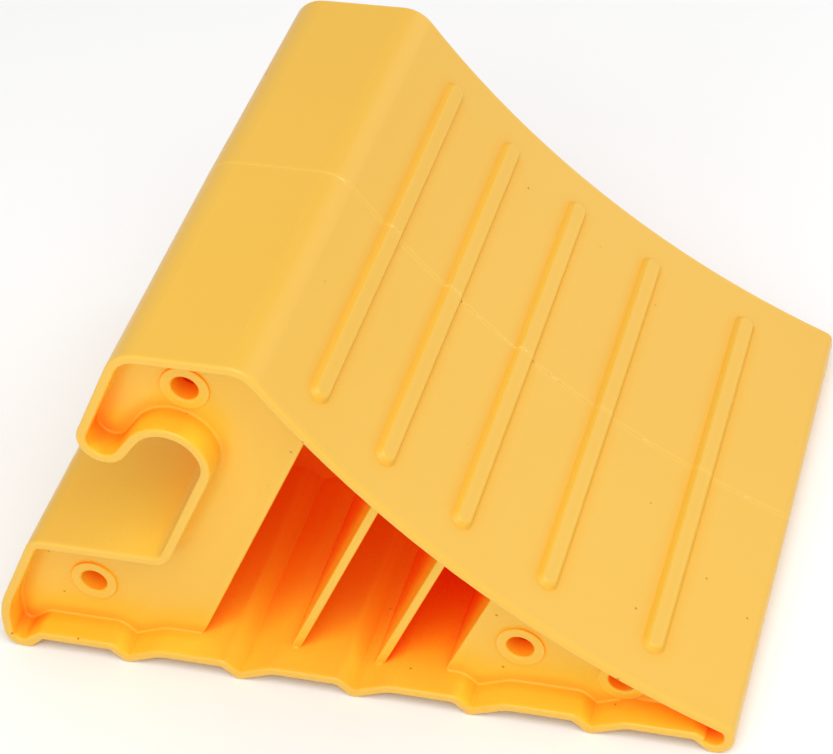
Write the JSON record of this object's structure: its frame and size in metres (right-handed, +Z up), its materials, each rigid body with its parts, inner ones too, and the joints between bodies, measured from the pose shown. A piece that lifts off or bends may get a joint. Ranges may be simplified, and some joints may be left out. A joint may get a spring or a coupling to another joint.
{
  "type": "wheel chock",
  "caption": "Hollow moulded wheel chock with a concave ribbed ramp, a hooked grip slot in the leaning back wall, open side cells and gripping ridges under the base.",
  "frame": {"origin": "middle of the footprint, on the ground under the ridge tips", "axes": "+X towards the toe that goes under the tyre, +Y across the tyre's width, +Z up"},
  "size_m": [0.253, 0.2, 0.1401],
  "materials": {
    "near_shell": "amber-yellow injection-moulded plastic with a low sheen",
    "far_shell": "amber-yellow injection-moulded plastic with a low sheen"
  },
  "bodies": {
    "root": {"near_shell": "near_shell", "far_shell": "far_shell"}
  },
  "joints": []
}
